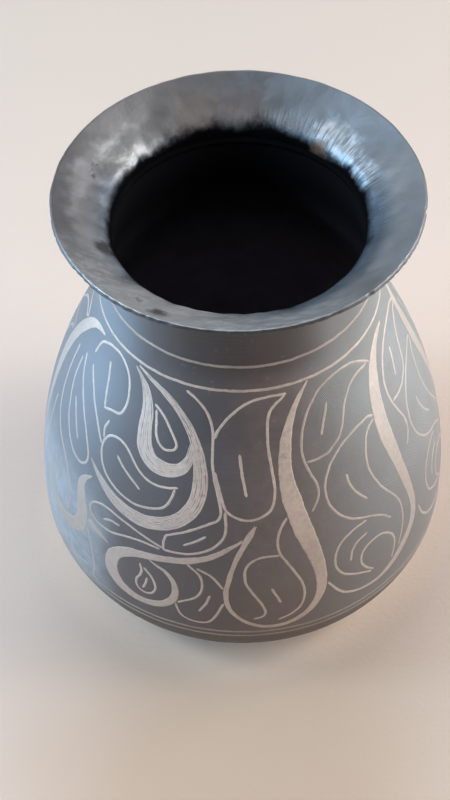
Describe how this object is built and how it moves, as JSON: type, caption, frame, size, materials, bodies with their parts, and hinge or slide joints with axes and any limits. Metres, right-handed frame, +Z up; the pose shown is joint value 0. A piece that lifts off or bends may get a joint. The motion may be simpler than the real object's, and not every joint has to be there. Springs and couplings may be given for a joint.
{
  "type": "vase",
  "caption": "Small round-bellied steel vase with a trumpet mouth and scrolling leaf ornament of laid silver wire, for flowers or display.",
  "frame": {"origin": "centre of the flat base, on the table", "axes": "+Z up along the turning axis, -Y towards the front with the flame motif just left of it, +X to the right"},
  "size_m": [0.0886, 0.0886, 0.0999],
  "materials": {
    "blackened_steel": "blackened by heat, finely scored, worn brighter inside the mouth",
    "braze": "coppery braze, ground down and mostly darkened",
    "silver_wire": "hammered silver wire, satin"
  },
  "bodies": {
    "root": {"back_bottom_leaf": "silver_wire", "back_corner_leaf": "silver_wire", "back_cradle_leaf": "silver_wire", "back_curl_leaf_1": "silver_wire", "back_curl_leaf_2": "silver_wire", "back_flame_arms": "silver_wire", "back_flame_eye": "silver_wire", "back_flame_sweep": "silver_wire", "back_hook_leaf": "silver_wire", "back_middle_leaf": "silver_wire", "back_nook_leaf": "silver_wire", "back_parting_stem": "silver_wire", "back_pod_leaf": "silver_wire", "back_shell_leaf": "silver_wire", "back_shoulder_leaf_1": "silver_wire", "back_shoulder_leaf_2": "silver_wire", "back_slant_leaf": "silver_wire", "back_snail_band": "silver_wire", "back_snail_eye": "silver_wire", "back_tall_stem_1": "silver_wire", "back_tall_stem_2": "silver_wire", "back_tall_stem_3": "silver_wire", "back_tucked_leaf": "silver_wire", "back_waist_leaf_1": "silver_wire", "back_waist_leaf_2": "silver_wire", "base_braze": "braze", "base_disc": "blackened_steel", "bulb_shell": "blackened_steel", "flared_neck": "blackened_steel", "front_bottom_leaf": "silver_wire", "front_corner_leaf": "silver_wire", "front_cradle_leaf": "silver_wire", "front_curl_leaf_1": "silver_wire", "front_curl_leaf_2": "silver_wire", "front_flame_arms": "silver_wire", "front_flame_eye": "silver_wire", "front_flame_sweep": "silver_wire", "front_hook_leaf": "silver_wire", "front_middle_leaf": "silver_wire", "front_nook_leaf": "silver_wire", "front_parting_stem": "silver_wire", "front_pod_leaf": "silver_wire", "front_shell_leaf": "silver_wire", "front_shoulder_leaf_1": "silver_wire", "front_shoulder_leaf_2": "silver_wire", "front_slant_leaf": "silver_wire", "front_snail_band": "silver_wire", "front_snail_eye": "silver_wire", "front_tall_stem_1": "silver_wire", "front_tall_stem_2": "silver_wire", "front_tall_stem_3": "silver_wire", "front_tucked_leaf": "silver_wire", "front_waist_leaf_1": "silver_wire", "front_waist_leaf_2": "silver_wire", "lower_foot_ring": "silver_wire", "lower_neck_ring": "silver_wire", "neck_braze": "braze", "upper_foot_ring": "silver_wire", "upper_neck_ring": "silver_wire"}
  },
  "joints": []
}
